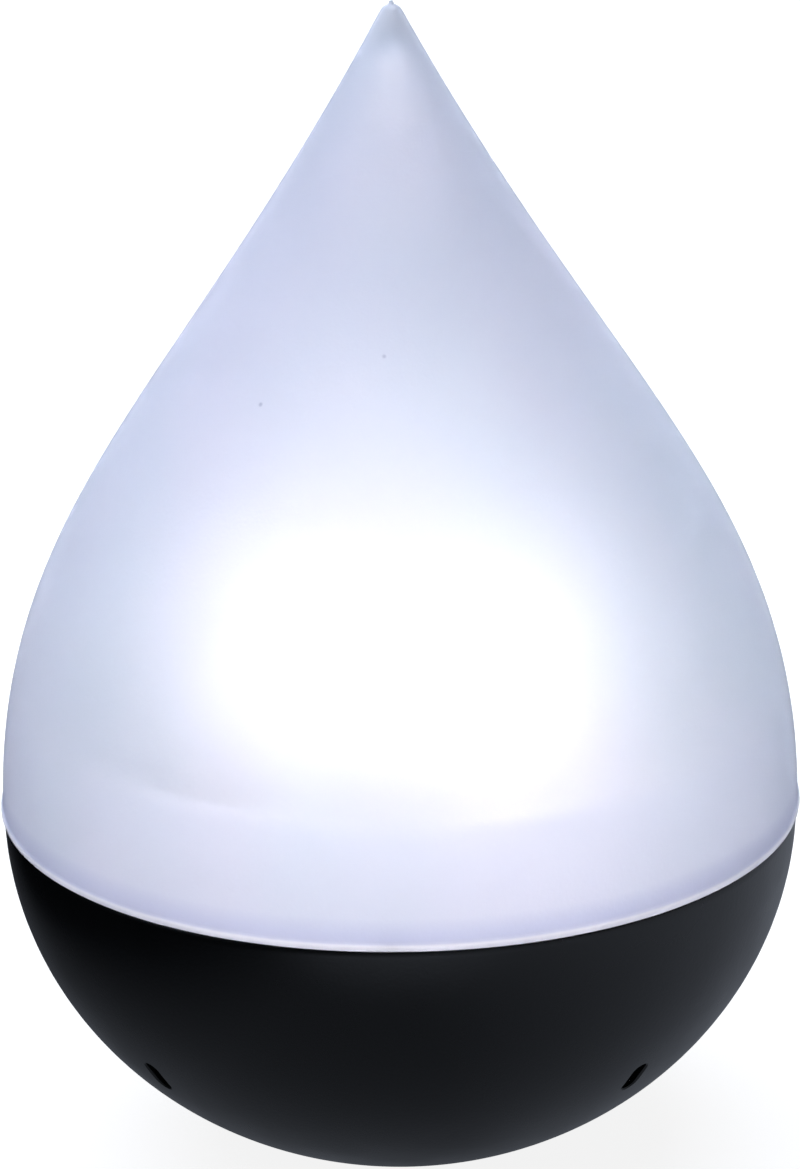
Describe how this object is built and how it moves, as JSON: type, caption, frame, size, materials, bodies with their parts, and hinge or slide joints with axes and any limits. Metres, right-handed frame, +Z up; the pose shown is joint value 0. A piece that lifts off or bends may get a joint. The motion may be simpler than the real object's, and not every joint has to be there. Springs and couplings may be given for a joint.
{
  "type": "cool mist humidifier",
  "caption": "Teardrop cool mist humidifier: a frosted glowing cover lifts off a black bowl holding the water basin, mist maker, fan, float, light ring and rear controls.",
  "frame": {"origin": "on the table under the middle of the object, at the level of the feet's undersides", "axes": "+Z up through the tip; the front faces -Y and the rear panel faces +Y; +X to the right seen from the front"},
  "size_m": [0.2212, 0.2212, 0.3197],
  "materials": {
    "frosted_cover": "frosted translucent plastic, glowing from inside",
    "clear_plastic": "milky moulded plastic",
    "basin_plastic": "milky moulded plastic",
    "black_plastic": "satin black moulded plastic",
    "dark_plastic": "fine matte dark grey plastic",
    "rubber_feet": "matte black rubber",
    "steel": "zinc plated steel",
    "silicone": "soft translucent silicone",
    "float_foam": "closed-cell foam",
    "brass": "nickel-edged brass disc",
    "aluminium": "plain aluminium",
    "board": "green circuit board",
    "lamp": "white light-emitting diode",
    "copper": "enamelled copper winding",
    "white_button": "white moulded plastic",
    "wire": "insulated wire"
  },
  "bodies": {
    "base": {"base_shell": "black_plastic", "bottom_cover": "dark_plastic", "foot_1": "rubber_feet", "foot_2": "rubber_feet", "foot_3": "rubber_feet", "foot_4": "rubber_feet", "bottom_screw_1": "steel", "bottom_screw_2": "steel", "bottom_screw_3": "steel", "bottom_screw_4": "steel", "water_basin": "basin_plastic", "basin_gasket": "silicone", "basin_screw_1": "steel", "basin_screw_2": "steel", "basin_screw_3": "steel", "float_retainer": "clear_plastic", "level_sensor": "dark_plastic", "transducer_disc": "brass", "transducer_seal": "silicone", "transducer_clamp": "aluminium", "clamp_screw_1": "steel", "clamp_screw_2": "steel", "clamp_screw_3": "steel", "light_board": "board", "led_1": "lamp", "led_2": "lamp", "led_3": "lamp", "led_4": "lamp", "led_5": "lamp", "led_6": "lamp", "air_duct": "dark_plastic", "fan_frame": "black_plastic", "fan_screw_1": "steel", "fan_screw_2": "steel", "driver_board": "board", "heat_sink": "aluminium", "driver_coil": "copper", "driver_screw_1": "steel", "driver_screw_2": "steel", "rear_panel": "dark_plastic", "mist_encoder": "steel", "light_switch": "dark_plastic", "control_board": "board", "power_socket": "black_plastic", "power_wires": "wire", "fan_wires": "wire", "transducer_wires": "wire"},
    "cover": {"cover_shell": "frosted_cover", "mist_outlet": "clear_plastic"},
    "mist_tube": {"mist_tube": "clear_plastic"},
    "float": {"level_float": "float_foam"},
    "fan": {"fan_rotor": "dark_plastic"},
    "knob": {"mist_knob": "black_plastic"},
    "light_button": {"light_button": "white_button"}
  },
  "joints": [
    {"name": "cover_lift", "type": "slide", "parent": "base", "child": "cover", "axis": [0, 0, 1], "range_m": [0, 0.15]},
    {"name": "mist_tube_lift", "type": "slide", "parent": "base", "child": "mist_tube", "axis": [0, 0, 1], "range_m": [0, 0.09]},
    {"name": "float_rise", "type": "slide", "parent": "base", "child": "float", "axis": [0, 0, 1], "range_m": [0, 0.0075]},
    {"name": "fan_spin", "type": "hinge", "parent": "base", "child": "fan", "pos_m": [-0.044, 0, 0.032], "axis": [0, 0, 1], "continuous": true},
    {"name": "knob_turn", "type": "hinge", "parent": "base", "child": "knob", "pos_m": [0.013, 0.10077, 0.06535], "axis": [0, -0.9473, 0.3205], "range_deg": [-135, 135]},
    {"name": "button_press", "type": "slide", "parent": "base", "child": "light_button", "axis": [0, -0.9473, 0.3205], "range_m": [0, 0.001], "stiffness_N_per_m": 1500, "springref_m": -0.0005}
  ]
}
